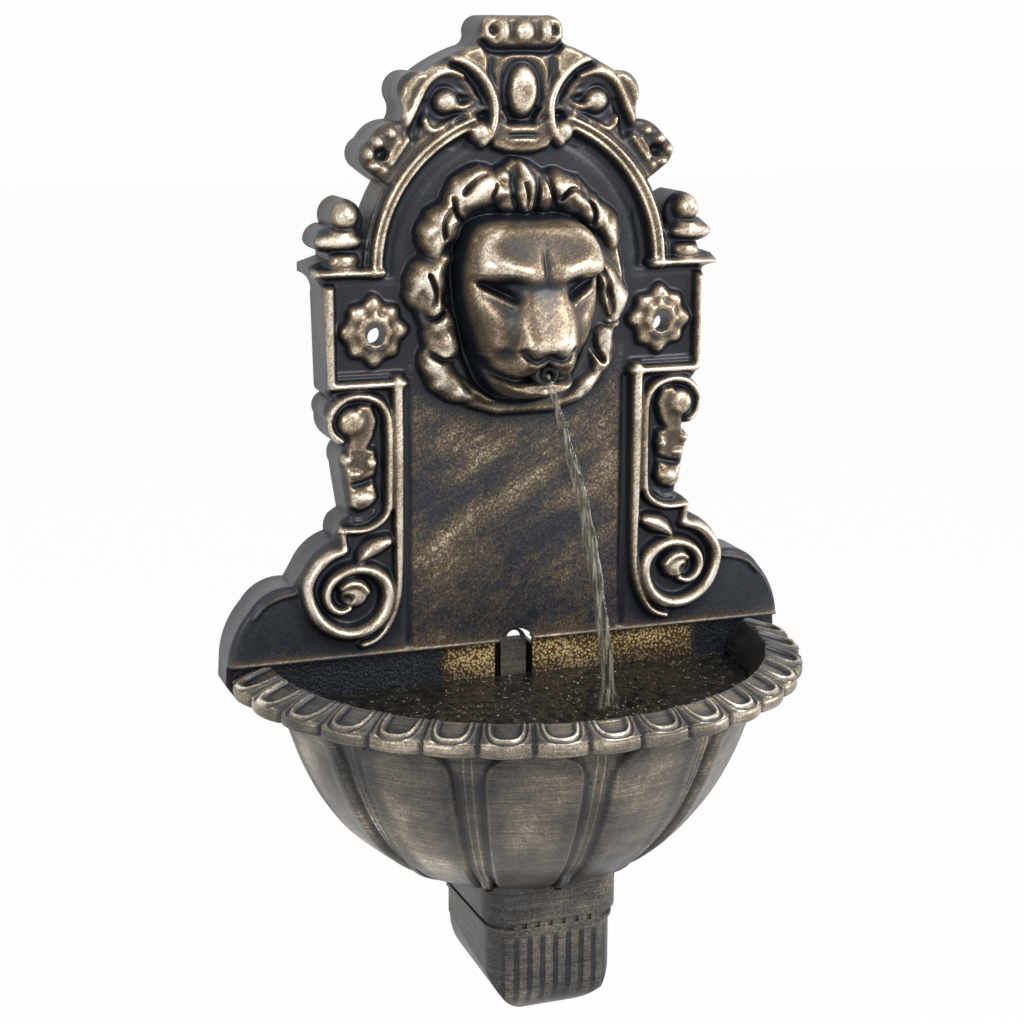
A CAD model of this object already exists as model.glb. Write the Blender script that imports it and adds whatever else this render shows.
import math
import bpy
import numpy as np
from mathutils import Matrix, Vector
from mathutils.geometry import tessellate_polygon
from mathutils.kdtree import KDTree


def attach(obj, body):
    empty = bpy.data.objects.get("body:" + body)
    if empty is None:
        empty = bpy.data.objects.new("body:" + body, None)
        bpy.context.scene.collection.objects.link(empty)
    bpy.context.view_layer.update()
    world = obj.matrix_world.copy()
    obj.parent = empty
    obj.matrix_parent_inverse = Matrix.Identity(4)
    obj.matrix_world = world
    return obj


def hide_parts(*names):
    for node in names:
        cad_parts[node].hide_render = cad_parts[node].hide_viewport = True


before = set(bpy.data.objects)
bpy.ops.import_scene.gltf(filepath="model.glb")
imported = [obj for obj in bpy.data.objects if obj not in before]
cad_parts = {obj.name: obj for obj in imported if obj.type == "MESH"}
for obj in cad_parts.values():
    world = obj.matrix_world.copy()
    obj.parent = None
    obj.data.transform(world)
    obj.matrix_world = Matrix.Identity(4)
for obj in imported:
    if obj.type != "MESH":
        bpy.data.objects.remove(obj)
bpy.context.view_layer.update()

# Garden wall fountain. Lengths are millimetres counted from the seam between plate and basin:
# x to the viewer's right, y = 0 on the wall, z up. Finishes and the studio work in metres.
seamHeight = -258.0
mm = 0.001
scene = bpy.context.scene
print("frame loaded:", len(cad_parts), "nodes")

viewpoint = {
    "focal": 2000.0,        # pixels of a picture 1024 wide
    "pictureWidth": 1024.0,
    "sensor": 36.0, "clip": (0.05, 50.0),
    "yaw": 0.34556, "pitch": 0.23656, "roll": 0.00431,
    "away": 1612.875,
    "aim": (-4.3235, -40.0, 109.1547),
}


def rowPoint(x, y, z):
    return Vector((x, y, z + seamHeight)) * mm


def setCamera():
    v = viewpoint
    yaw, pitch, roll = v["yaw"], v["pitch"], v["roll"]
    ahead = Vector((math.sin(yaw) * math.cos(pitch), math.cos(yaw) * math.cos(pitch), -math.sin(pitch)))
    right = Vector((math.cos(yaw), -math.sin(yaw), 0.0))
    up = right.cross(ahead)
    turnedRight = right * math.cos(roll) + up * math.sin(roll)
    turnedUp = up * math.cos(roll) - right * math.sin(roll)
    data = bpy.data.cameras.new("viewCamera")
    data.sensor_width = v["sensor"]
    data.lens = v["focal"] / v["pictureWidth"] * v["sensor"]
    data.clip_start, data.clip_end = v["clip"]
    camera = bpy.data.objects.new("viewCamera", data)
    axes = Matrix((turnedRight, turnedUp, -ahead)).transposed().to_4x4()
    camera.matrix_world = Matrix.Translation(rowPoint(*v["aim"]) - ahead * v["away"] * mm) @ axes
    scene.collection.objects.link(camera)
    scene.camera = camera


setCamera()
print("camera placed")


class Wire:
    def __init__(self, finish, socket):
        self.finish = finish
        self.socket = socket

    def calc(self, operation, other=None, clamp=False):
        return self.finish.node("Math", {"operation": operation, "use_clamp": clamp}, {0: self, 1: other})

    def __add__(self, other):
        return self.calc("ADD", other)

    def __sub__(self, other):
        return self.calc("SUBTRACT", other)

    def __rsub__(self, other):
        return self * -1.0 + other

    def __mul__(self, other):
        return self.calc("MULTIPLY", other)

    __radd__, __rmul__ = __add__, __mul__

    def clip(self):
        return self.calc("ADD", 0.0, True)

    def step(self, low, high):
        return self.finish.node("MapRange", {"interpolation_type": "SMOOTHSTEP"}, {0: self, 1: low, 2: high})


class Finish:
    def __init__(self, name, library=bpy.data.materials):
        self.owner = library.new(name)
        self.owner.use_nodes = True
        self.tree = self.owner.node_tree
        self.tree.nodes.clear()
        self.place = self.node("TexCoord", output="Object")

    def node(self, kind, settings=None, inputs=None, output=0):
        made = self.tree.nodes.new("ShaderNode" + kind)
        for key, value in (settings or {}).items():
            if key == "stops":
                fillRamp(made.color_ramp, value)
            else:
                setattr(made, key, value)
        for key, value in (inputs or {}).items():
            if isinstance(value, Wire):
                self.tree.links.new(value.socket, made.inputs[key])
            elif value is not None:
                made.inputs[key].default_value = (*value, 1.0) if made.inputs[key].type == "RGBA" else value
        return Wire(self, made.outputs[output])

    def outputs(self, kind, names, inputs=None):
        made = self.node(kind, None, inputs).socket.node
        return [Wire(self, made.outputs[name]) for name in names]

    def stretched(self, scale, turn=0.0):
        place = self.place
        if turn:
            place = self.node("Mapping", None, {"Vector": place, "Rotation": (0.0, turn, 0.0)})
        return self.node("Mapping", None, {"Vector": place, "Scale": scale})

    def noise(self, scale, detail=3.0, rough=0.55, where=None):
        return self.node("TexNoise", None, {"Vector": where or self.place, "Scale": scale,
                                            "Detail": detail, "Roughness": rough})

    def bands(self, direction, scale, distortion):
        return self.node("TexWave", {"bands_direction": direction},
                         {"Vector": self.place, "Scale": scale, "Distortion": distortion, "Detail": 1.0})

    def kept(self, name):
        return self.node("Attribute", {"attribute_name": name}, output="Fac")

    def mix(self, factor, first, second):
        return self.node("Mix", {"data_type": "RGBA"}, {0: factor, 6: first, 7: second}, 2)

    def bump(self, height, distance, strength=1.0):
        return self.node("Bump", None, {"Height": height, "Distance": distance, "Strength": strength})

    def close(self, shader, kind="OutputMaterial"):
        out = self.tree.nodes.new("ShaderNode" + kind)
        self.tree.links.new(shader.socket, out.inputs[0])
        return self.owner

    def surface(self, **sockets):
        names = {"color": "Base Color", "rough": "Roughness", "metal": "Metallic", "normal": "Normal",
                 "coat": "Coat Weight", "coatRough": "Coat Roughness", "specular": "Specular IOR Level",
                 "clear": "Transmission Weight", "ior": "IOR", "alpha": "Alpha"}
        return self.close(self.node("BsdfPrincipled", None, {names[k]: v for k, v in sockets.items()}))


def fillRamp(ramp, stops):
    while len(ramp.elements) < len(stops):
        ramp.elements.new(0.5)
    for element, (place, color) in zip(ramp.elements, stops):
        element.position = place
        element.color = (*color, 1.0)


# wear runs from 0, dark paint in the hollows, to 1, metal rubbed bright
bronze = {
    "warm": [(0.00, (0.005, 0.007, 0.012)), (0.22, (0.016, 0.019, 0.026)), (0.42, (0.058, 0.043, 0.030)),
             (0.60, (0.148, 0.108, 0.072)), (0.78, (0.33, 0.255, 0.175)), (1.00, (0.80, 0.71, 0.585))],
    "grey": [(0.00, (0.008, 0.009, 0.012)), (0.22, (0.026, 0.026, 0.028)), (0.42, (0.082, 0.071, 0.060)),
             (0.60, (0.165, 0.138, 0.106)), (0.80, (0.37, 0.31, 0.235)), (1.00, (0.82, 0.76, 0.67))],
    "metal": 0.66, "metalWear": (0.30, 0.66), "rough": 0.42, "worn": 0.12, "roughWear": (0.2, 0.9),
    "grainRough": 0.22, "specular": 0.34, "coat": 0.12, "coatRough": 0.27, "bumpDepth": 0.00028,
}
# lines, grain and cloud are noises (scale, detail, roughness), weights their shares of the wear
reliefLook = {"ramp": "warm", "stretch": (130.0, 300.0, 420.0), "turn": 0.62, "grain": (640.0, 2.0, 0.65),
              "cloud": (17.0, 4.0, 0.6), "weights": (0.5, 0.62, 0.7), "sweep": (1.7, 0.7),
              "sweepStretch": (11.0, 28.0, 30.0), "sweepTurn": 0.55}
bowlLook = {"ramp": "grey", "stretch": (22.0, 22.0, 1100.0), "grain": (640.0, 2.0, 0.65),
            "cloud": (17.0, 4.0, 0.6), "weights": (0.66, 0.66, 1.3)}
coverLook = {"ramp": "grey", "stretch": (16.0, 16.0, 900.0), "grain": (520.0, 3.0, 0.7),
             "cloud": (26.0, 4.0, 0.65), "weights": (0.8, 1.0, 0.9), "wear": 0.40}


def bronzeFinish(f, look, rubbed):
    b = bronze
    lines = f.noise(1.0, 4.0, 0.62, f.stretched(look["stretch"], look.get("turn", 0.0)))
    grain, cloud = f.noise(*look["grain"]), f.noise(*look["cloud"])
    brush, speckle, cloudy = look["weights"]
    wear = (lines - 0.5) * brush + (grain - 0.5) * speckle + (cloud - 0.5) * cloudy + rubbed
    if "sweep" in look:
        stroke = f.noise(1.0, 6.0, 0.72, f.stretched(look["sweepStretch"], look["sweepTurn"]))
        strong, grainy = look["sweep"]
        wear = wear + ((stroke - 0.5) * strong + (grain - 0.5) * grainy) * f.kept("zone")
    rough = b["rough"] - wear.step(*b["roughWear"]) * b["worn"] + (grain - 0.5) * b["grainRough"]
    return f.surface(color=f.node("ValToRGB", {"stops": b[look["ramp"]]}, {0: wear.clip()}),
                     metal=wear.step(*b["metalWear"]) * b["metal"], rough=rough.clip(),
                     normal=f.bump(grain * 0.55 + lines * 0.45, b["bumpDepth"], 0.6),
                     coat=b["coat"], coatRough=b["coatRough"], specular=b["specular"])


def rubbedBronze(name, look):
    f = Finish(name)
    return bronzeFinish(f, look, f.kept("rubbed"))


flankLook = {"tones": ((0.034, 0.036, 0.042), (0.135, 0.135, 0.14)), "toneRange": (0.34, 0.68),
             "stain": (0.11, 0.085, 0.058), "stainRange": (0.58, 0.72), "rough": 0.50, "specular": 0.20}


def flankFinish():
    f = Finish("flankGrey")
    look = flankLook
    cloud, grain = f.noise(15.0, 4.0, 0.6), f.noise(420.0, 2.0, 0.6)
    color = f.mix((cloud * 0.8 + grain * 0.2).step(*look["toneRange"]), *look["tones"])
    color = f.mix(f.noise(31.0, 3.0, 0.6).step(*look["stainRange"]), color, look["stain"])
    return f.surface(color=color, metal=0.1, rough=look["rough"] + (grain - 0.5) * 0.12,
                     specular=look["specular"], normal=f.bump(cloud * 0.3 + grain * 0.7, 0.0002, 0.5))


def plasticFinish(name, color, rough, grainSize=420.0, coat=0.0, metal=0.0, second=None, gloss=0.5):
    f = Finish(name)
    grain, cloud = f.noise(grainSize, 2.0, 0.6), f.noise(40.0, 3.0, 0.5)
    lighter = second or tuple(c * 1.7 + 0.004 for c in color)
    tint = f.mix((cloud * 0.6 + grain * 0.4).step(0.35, 0.65), color, lighter)
    return f.surface(color=tint, metal=metal, coat=coat, specular=gloss, normal=f.bump(grain, 0.00015, 0.5),
                     rough=((cloud - 0.5) * 0.14 + (grain - 0.5) * 0.1 + rough).clip())


metalTones = {"copper": ((0.16, 0.045, 0.014), (0.62, 0.25, 0.10)),
              "sheets": ((0.11, 0.10, 0.095), (0.42, 0.42, 0.43)),
              "steel": ((0.42, 0.42, 0.41), (0.68, 0.68, 0.66))}


def windingFinish():
    f = Finish("copperWinding")
    turns = f.bands("Y", 900.0, 0.6)
    return f.surface(color=f.mix(turns.step(0.1, 0.8), *metalTones["copper"]), metal=0.85,
                     rough=turns * 0.1 + 0.28, normal=f.bump(turns, 0.0004))


def laminatedFinish():
    f = Finish("laminatedSteel")
    sheets, stain = f.bands("X", 320.0, 0.3), f.noise(120.0)
    color = f.mix((sheets * 0.6 + stain * 0.5).step(0.2, 0.8), *metalTones["sheets"])
    return f.surface(color=color, metal=0.8, rough=stain * 0.15 + 0.38, normal=f.bump(sheets, 0.0003))


def steelFinish():
    f = Finish("plainSteel")
    lines = f.noise(1.0, 2.0, 0.5, f.stretched((1400.0, 60.0, 60.0)))
    return f.surface(color=f.mix(lines.step(0.3, 0.7), *metalTones["steel"]), metal=1.0,
                     rough=lines * 0.14 + 0.26, normal=f.bump(lines, 0.0001, 0.4))


relief = rubbedBronze("reliefBronze", reliefLook)
flank = flankFinish()
mouldedBack = plasticFinish("mouldedBack", (0.030, 0.030, 0.032), 0.52, 260.0)
print("finishes made")


def makePiece(name, points, faces, materials, kinds=None, kept=None, smooth=True, creaseAngle=None):
    mesh = bpy.data.meshes.new(name)
    coords = (np.asarray(points, float) + (0.0, 0.0, seamHeight)) * mm
    mesh.from_pydata(coords.tolist(), [], faces)
    for material in materials:
        mesh.materials.append(material)
    if kinds is not None:
        mesh.polygons.foreach_set("material_index", np.asarray(kinds, np.int32))
    for key, values in (kept or {}).items():
        layer = mesh.attributes.new(key, "FLOAT", "POINT")
        layer.data.foreach_set("value", np.asarray(values, np.float32))
    mesh.polygons.foreach_set("use_smooth", np.full(len(mesh.polygons), smooth))
    mesh.update()
    if creaseAngle is not None:
        mesh.set_sharp_from_angle(angle=math.radians(creaseAngle))
    piece = bpy.data.objects.new(name, mesh)
    scene.collection.objects.link(piece)
    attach(piece, "fountain")
    return piece


# the cells of a grid of points, wrapped round where a way of the grid closes on itself
def gridFaces(rows, cols, wrapRows=0, wrapCols=0):
    index = np.pad(np.arange(rows * cols).reshape(rows, cols), ((0, wrapRows), (0, wrapCols)), mode="wrap")
    return np.stack([index[:-1, :-1], index[:-1, 1:], index[1:, 1:], index[1:, :-1]], -1)


def soften(field, cells):
    size = 2 * cells + 1
    for _ in range(2):
        for _ in range(3):
            total = np.cumsum(np.pad(field, ((cells + 1, cells), (0, 0)), mode="edge"), axis=0)
            field = (total[size:] - total[:-size]) / size
        field = field.T
    return field


def smoothLine(points, step=1.5):
    pts = np.array(points, float)
    if len(pts) < 3:
        return pts
    ends = np.vstack([2 * pts[0] - pts[1], pts, 2 * pts[-1] - pts[-2]])
    out = [pts[0]]
    for a, b, c, d in zip(ends, ends[1:], ends[2:], ends[3:]):
        count = max(2, int(np.linalg.norm(c - b) / step))
        for t in np.linspace(0, 1, count + 1)[1:]:
            out.append(0.5 * (2 * b + (c - a) * t + (2 * a - 5 * b + 4 * c - d) * t * t
                              + (3 * b - a - 3 * c + d) * t ** 3))
    return np.array(out)


def easy(t):
    t = np.clip(t, 0, 1)
    return t * t * (3 - 2 * t)


def bell(value, middle, width):
    return np.exp(-((value - middle) / width) ** 2)


# the higher of two surfaces, with a soft meeting line
def blendUp(low, lift, soft):
    share = np.clip(0.5 + 0.5 * (low - lift) / soft, 0, 1)
    return lift + (low - lift) * share + soft * share * (1 - share)


def smoothed(field, times):
    for _ in range(times):
        for axis in (0, 1):
            field = 0.5 * field + 0.25 * (np.roll(field, 1, axis) + np.roll(field, -1, axis))
    return field


class Relief:
    sunk = 2.3      # how far a form's foot starts under the surface that it grows from

    def __init__(self, x0, x1, z0, z1, pitch):
        self.pitch = pitch
        self.xs = x0 + pitch * np.arange(int(round((x1 - x0) / pitch)) + 1)
        self.zs = z0 + pitch * np.arange(int(round((z1 - z0) / pitch)) + 1)
        self.x, self.z = np.meshgrid(self.xs, self.zs)
        self.height = np.zeros_like(self.x)

    def patch(self, x0, x1, z0, z1):
        return (slice(*np.searchsorted(self.zs, (z0, z1))), slice(*np.searchsorted(self.xs, (x0, x1))))

    def lineGap(self, line, reach):
        part = self.patch(line[:, 0].min() - reach, line[:, 0].max() + reach,
                          line[:, 1].min() - reach, line[:, 1].max() + reach)
        x, z = self.x[part], self.z[part]
        gap = np.full(x.shape, 1e9)
        along = np.zeros(x.shape)
        run = 0.0
        for a, b in zip(line[:-1], line[1:]):
            d = b - a
            length = max(1e-6, float(np.hypot(*d)))
            t = np.clip(((x - a[0]) * d[0] + (z - a[1]) * d[1]) / length ** 2, 0, 1)
            here = np.hypot(x - a[0] - t * d[0], z - a[1] - t * d[1])
            nearer = here < gap
            gap = np.where(nearer, here, gap)
            along = np.where(nearer, run + t * length, along)
            run += length
        return part, gap, along / run

    def grow(self, part, lift, soft=1.8):
        here = self.height[part]
        self.height[part] = np.where(lift > lift.min() + 0.01, blendUp(here, lift, soft), here)

    def ridge(self, points, half, rise, base=0.0, flat=2.0):
        widths = np.atleast_1d(half) * 1.14
        part, gap, along = self.lineGap(smoothLine(points, 2.5), widths.max() + 1)
        width = np.interp(along, np.linspace(0, 1, len(widths)), widths)
        foot = base - self.sunk
        top = base + (rise - base) * (width / widths.max()) ** 0.4
        self.grow(part, foot + (top - foot) * (1 - np.clip(gap / width, 0, 1) ** flat) ** 0.88)

    def ovalGap(self, x, z, halfX, halfZ, turn=0.0, reach=1.0):
        size = max(halfX, halfZ) * reach + 1
        part = self.patch(x - size, x + size, z - size, z + size)
        dx, dz = self.x[part] - x, self.z[part] - z
        c, s = math.cos(math.radians(turn)), math.sin(math.radians(turn))
        return part, np.hypot((dx * c + dz * s) / halfX, (dz * c - dx * s) / halfZ)

    def lump(self, x, z, halfX, halfZ, rise, flat=2.0):
        part, rho = self.ovalGap(x, z, halfX * 1.06, halfZ * 1.06)
        self.grow(part, -self.sunk + (rise + self.sunk) * (1 - np.clip(rho, 0, 1) ** flat) ** 0.62)

    def mass(self, points, rise, soft=5.0):
        loop = np.array(list(points) + [points[0]], float)
        part, gap, _ = self.lineGap(loop, soft + 1)
        inside = insideLoop(loop[:-1], self.x[part], self.z[part])
        lift = easy(np.where(inside, gap, -gap) / soft + 0.4)
        self.grow(part, -self.sunk + (rise + self.sunk) * lift, 2.2)

    def lower(self, part, level, share):
        self.height[part] += np.minimum(level - self.height[part], 0) * share

    def hollow(self, points, half, level):
        part, gap, _ = self.lineGap(smoothLine(points, 2.5), half + 1)
        self.lower(part, level, (1 - np.clip(gap / half, 0, 1) ** 2) ** 1.3)

    def pit(self, x, z, halfX, halfZ, level):
        part, rho = self.ovalGap(x, z, halfX, halfZ)
        self.lower(part, level, (1 - np.clip(rho, 0, 1) ** 4) ** 1.3)

    def stroke(self, points, half, amount):
        part, gap, _ = self.lineGap(smoothLine(points, 2.5), half + 1)
        self.height[part] += amount * (1 - np.clip(gap / half, 0, 1) ** 2) ** 1.5

    def swell(self, x, z, halfX, halfZ, rise, turn=0.0):
        part, rho = self.ovalGap(x, z, halfX, halfZ, turn, 3.0)
        self.height[part] += rise * np.exp(-rho ** 2)

    def carve(self, steps, side=1):
        for tool, *values in steps:
            if side < 0 and isinstance(values[0], list):
                values[0] = [(-x, z) for x, z in values[0]]
            elif side < 0:
                values[0] = -values[0]
                values[5:] = [-turn for turn in values[5:]]
            getattr(self, tool)(*values)


plateShape = {
    "pitch": 1.0, "half": 242.0, "top": 501.0, "low": -252.0, "head": (-97.0, 97.0, 184.0, 398.0),
    "fieldDepth": 40.0, "apronDepth": 30.0, "edgeRound": 5.0, "wall": 3.0, "crestTop": 498.0,
    "screwX": 119.0, "screwZ": 258.0, "screwR": 7.0, "mouthZ": 232.0, "mouthR": 6.1,
    "outline": [
        (20, 498), (31, 494, 33.5, 484), (35, 478.5, 38, 476), (60, 467, 78, 456), (96, 450, 97, 436),
        (94.5, 428, 97, 420), (110, 417, 121, 406), (128.5, 396, 122, 383), (115, 377.5, 108, 372.9),
        (117.5, 353.5, 123.4, 333.5), (126.5, 337), (125, 350, 138, 362.5), (150, 354, 150, 342),
        (161, 336.5, 163.5, 329), (160, 324, 153, 322.5), (153, 317), (168, 312), (168, 305),
        (160, 299, 158, 288), (156.4, 217), (155, 212, 150, 210), (158, 203, 157, 193),
        (154, 180, 142, 171.5), (147, 163, 145.5, 153), (143, 135, 140, 115.5), (147, 111),
        (150, 106, 151, 97), (165, 90, 178, 74), (185, 62), (204, 59, 220, 45), (232, 27, 238.5, 0)],
    "apron": [
        (239.5, -16), (230, -30), (180, -45), (140, -62), (118, -150), (38, -183), (38, -250), (0, -250)],
    "channelHalf": 20.3, "channelLow": -123.8, "notchHalf": 16.5, "notchTop": 11.0,
}

# Carving of the right half, mirrored to the left. Points are (x, z), heights count from the field.
# mass: points, height, soft border. ridge: points, half widths, height, foot, squareness.
# hollow: points, half width, level. lump and pit: x, z, half x, half z, height or level.
# the cap with its knobs, the crest's flanks and the gaps between them
crestCarving = [
    ("mass", [(0, 500), (33, 498), (36, 474), (0, 474)], 11), ("lump", 0, 486, 12, 12, 19),
    ("lump", 17, 486, 7.5, 12, 18.5), ("lump", 26.5, 484.5, 6.5, 10.5, 15), ("pit", 25.5, 487, 3.4, 4.4, 7),
    ("mass", [(33, 478), (46, 475), (62, 464), (54, 458), (42, 452), (32, 441), (27, 430), (24, 440),
     (27, 455), (27, 468)], 10),
    ("mass", [(60, 464), (80, 458), (97, 449), (99, 436), (97, 419), (88, 418), (84, 436), (76, 448),
     (66, 454), (50, 452)], 10),
    ("mass", [(97, 424), (110, 420), (124, 408), (130, 395), (124, 382), (108, 374), (98, 386), (86, 402)],
     6),
    ("pit", 60, 433, 22, 17, 0.6), ("hollow", [(31, 436), (35, 446), (43, 455), (54, 461.5)], 6.0, 0.6),
    ("hollow", [(80, 432), (84, 420), (87, 410)], 6.5, 0.6),
]
# keystone and oval, big and small C-scrolls, shells, and the ears with their beads
crestForms = [
    ("mass", [(-4, 419), (12, 418), (24, 426), (27, 412), (24, 399), (12, 395), (-4, 394)], 9, 4.0),
    ("hollow", [(-5, 471.5), (14, 471.5), (25, 472.5), (32, 478)], 3.4, 0.8),
    ("hollow", [(24.5, 466), (25, 456), (22, 446)], 2.8, 4.0),
    ("ridge", [(0, 467.3), (9, 467.5), (16, 463.5), (19.5, 455), (19.5, 442), (18, 430), (13, 420)], 3.2,
     8.5),
    ("pit", 0, 442.5, 17.0, 24.5, 0.8), ("lump", 0, 442.5, 13.2, 20.5, 15.5, 4.0),
    ("ridge", [(0, 412.5), (10, 412)], 2.6, 12), ("ridge", [(0, 405), (9, 404.5)], 2.8, 12.5),
    ("hollow", [(0, 408.8), (11, 408.4)], 1.8, 5),
    ("ridge", [(55, 466), (48, 464), (38, 458), (29, 448), (23.5, 435), (23, 422), (26, 410), (32, 403)],
     [4.2, 4.8, 5.2, 5.4, 5.4, 5.4, 5.4, 4.6], 14),
    ("lump", 34, 411.5, 9.5, 10, 15.5),
    ("ridge", [(48, 453), (58, 456.5), (68, 455), (77, 448.5), (83, 438), (88, 427), (92, 418)],
     [3.2, 4.2, 4.8, 5, 4.8, 4.4, 3.4], 14),
    ("ridge", [(62, 460), (78, 455), (90, 446), (94, 436), (94, 424)], [4, 5.5, 6, 5.5, 4], 12.5, 0, 3.0),
    ("ridge", [(33, 434), (40, 439.5), (50, 441), (56, 446), (63, 448), (70, 445), (76, 436)], 2.3, 6.5),
    ("lump", 61.5, 434.5, 11, 10, 15.5), ("ridge", [(56, 431), (48, 429.5), (42, 432)], [5, 4, 3], 11),
    ("lump", 43, 424.5, 3.6, 4.6, 10), ("lump", 56, 418, 3, 2.6, 9),
    ("ridge", [(64, 415.5), (70, 412.5), (76, 415), (78.5, 421)], 3.0, 11),
    ("ridge", [(92, 407), (99, 397), (105.5, 388)], 3.0, 12.5),
    ("ridge", [(99, 405.5), (104, 398), (108, 391)], 2.6, 11.5), ("pit", 112.5, 396, 5.5, 5, 1.0),
    ("lump", 104.5, 411, 5.6, 5.6, 13), ("lump", 115.5, 404.5, 6.5, 6, 14), ("lump", 123, 396, 5.8, 7, 14),
    ("lump", 118, 387, 7, 5, 12), ("lump", 110.5, 383.5, 4.6, 3.8, 10),
]
# the square block's border, ledge and finial
blockCarving = [
    ("ridge", [(96, 220.5), (154, 220.5)], 3.8, 11.5, 0, 3.0),
    ("ridge", [(154.5, 298), (154.5, 222)], 4.6, 11.5, 0, 3.0),
    ("ridge", [(96, 227.3), (149, 227.3)], 1.8, 4.5), ("hollow", [(100, 299.5), (160, 299.5)], 3.6, -0.6),
    ("ridge", [(112, 307), (166, 307)], 3.4, 13.5, 0, 3.0), ("lump", 143, 315.5, 14, 10, 10.5),
    ("lump", 144, 337, 13, 9, 12), ("lump", 146.5, 331, 20, 7.4, 13.5, 2.4),
    ("lump", 142, 350, 11.6, 12.6, 15.5), ("hollow", [(126, 323.6), (160, 323.6)], 2.6, 1.0),
    ("hollow", [(131, 340.5), (154, 340.5)], 1.8, 5),
]
# the side panel's border, crook, leaf column, ledge and spiral
sideCarving = [
    ("hollow", [(92, 6), (92, 110), (92, 214)], 4.5, -2.2),
    ("ridge", [(101, 222), (101, 140), (101, 66), (104, 42), (112, 24), (121, 15), (131, 11.5)],
     [5.4, 5.4, 5.2, 4.6, 3.8, 3.4, 3], 10.5, 0, 3.5),
    ("ridge", [(109, 122), (108.5, 150), (108.5, 185), (111, 200), (119, 208.5), (131, 212), (143, 210.5),
     (152, 203.5), (156.5, 193), (154, 183), (147, 177.5)], 4.4, 11),
    ("mass", [(122, 206), (134, 207), (142, 180), (143, 168), (128, 166), (121, 178), (117, 192)], 8.5),
    ("lump", 138.5, 192, 12.5, 12.5, 12.5, 3.5),
    ("mass", [(119, 170), (130, 173), (143, 172), (147, 160), (144, 146), (141, 124), (133, 120), (123, 123),
     (117, 131), (120, 143), (118, 156)], 7.5),
    ("hollow", [(119, 147), (129, 143.5), (137, 142)], 3.6, 2.5), ("lump", 143, 163, 5.5, 5.5, 13),
    ("lump", 137, 151.5, 8, 4, 13), ("lump", 123, 159, 5.5, 6.5, 12), ("lump", 129, 132, 11, 8, 14),
    ("ridge", [(120, 118), (128, 112), (137, 112)], 1.6, 3.5),
    ("ridge", [(108.5, 128), (111, 117), (119, 109.5), (131, 105.5), (150, 106.5)], 3.6, 11),
    ("ridge", [(146.5, 105), (146, 97), (144.5, 90)], 4.0, 9),
    ("ridge", [(111, 95), (118, 92.5), (126, 88), (133, 82)], [6, 8, 7, 4], 13),
    ("ridge", [(124, 98), (131, 93), (135.5, 85)], 1.6, 5.5),
    ("ridge", [(147, 90), (159, 86), (169, 77), (175.5, 64), (174, 50), (167, 36), (155, 26), (141, 22),
     (127, 25), (116, 34), (110.5, 48), (112, 61), (120, 70), (132, 74.5), (145, 73), (156, 66), (160.5, 56),
     (158, 46), (150, 40.5), (142, 42.5)],
     [5, 6, 6.2, 5.8, 5.8, 6, 6.2, 6.2, 6.2, 6.6, 6.8, 6.8, 6.6, 6.4, 6.2, 6, 5.4, 5, 4.6, 4.2, 3.2], 13),
    ("lump", 138, 54, 12, 11, 12.5, 3.0),
    ("ridge", [(128, 56), (134, 62.5), (142, 64), (149, 60)], [4, 5, 5, 3], 14),
    ("pit", 144.5, 51.5, 5.0, 4.4, 5.0), ("hollow", [(146, 82), (156, 79), (165, 70), (168, 58)], 3.0, 0.3),
    ("ridge", [(184, 57), (196, 55), (208, 50), (218, 40)], 1.6, 3.4),
]
# right half of the face's outline, then the mane's foot
lionMask = [
    (0, 348), (20, 348), (36, 346), (47, 340), (54, 328), (57, 310), (56, 290), (54, 270), (50, 250),
    (44, 232), (34, 216), (20, 207), (0, 204)]
maneBase = [
    (-8, 393), (8, 388), (18, 381), (48, 377), (60, 364), (74, 352), (82, 338), (84, 318), (88, 300),
    (88, 276), (82, 258), (80, 236), (70, 214), (52, 198), (28, 190), (-20, 190), (-44, 198), (-66, 216),
    (-80, 238), (-83, 262), (-91, 284), (-89, 306), (-78, 322), (-80, 338), (-68, 354), (-58, 368),
    (-40, 381), (-20, 384)]
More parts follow.
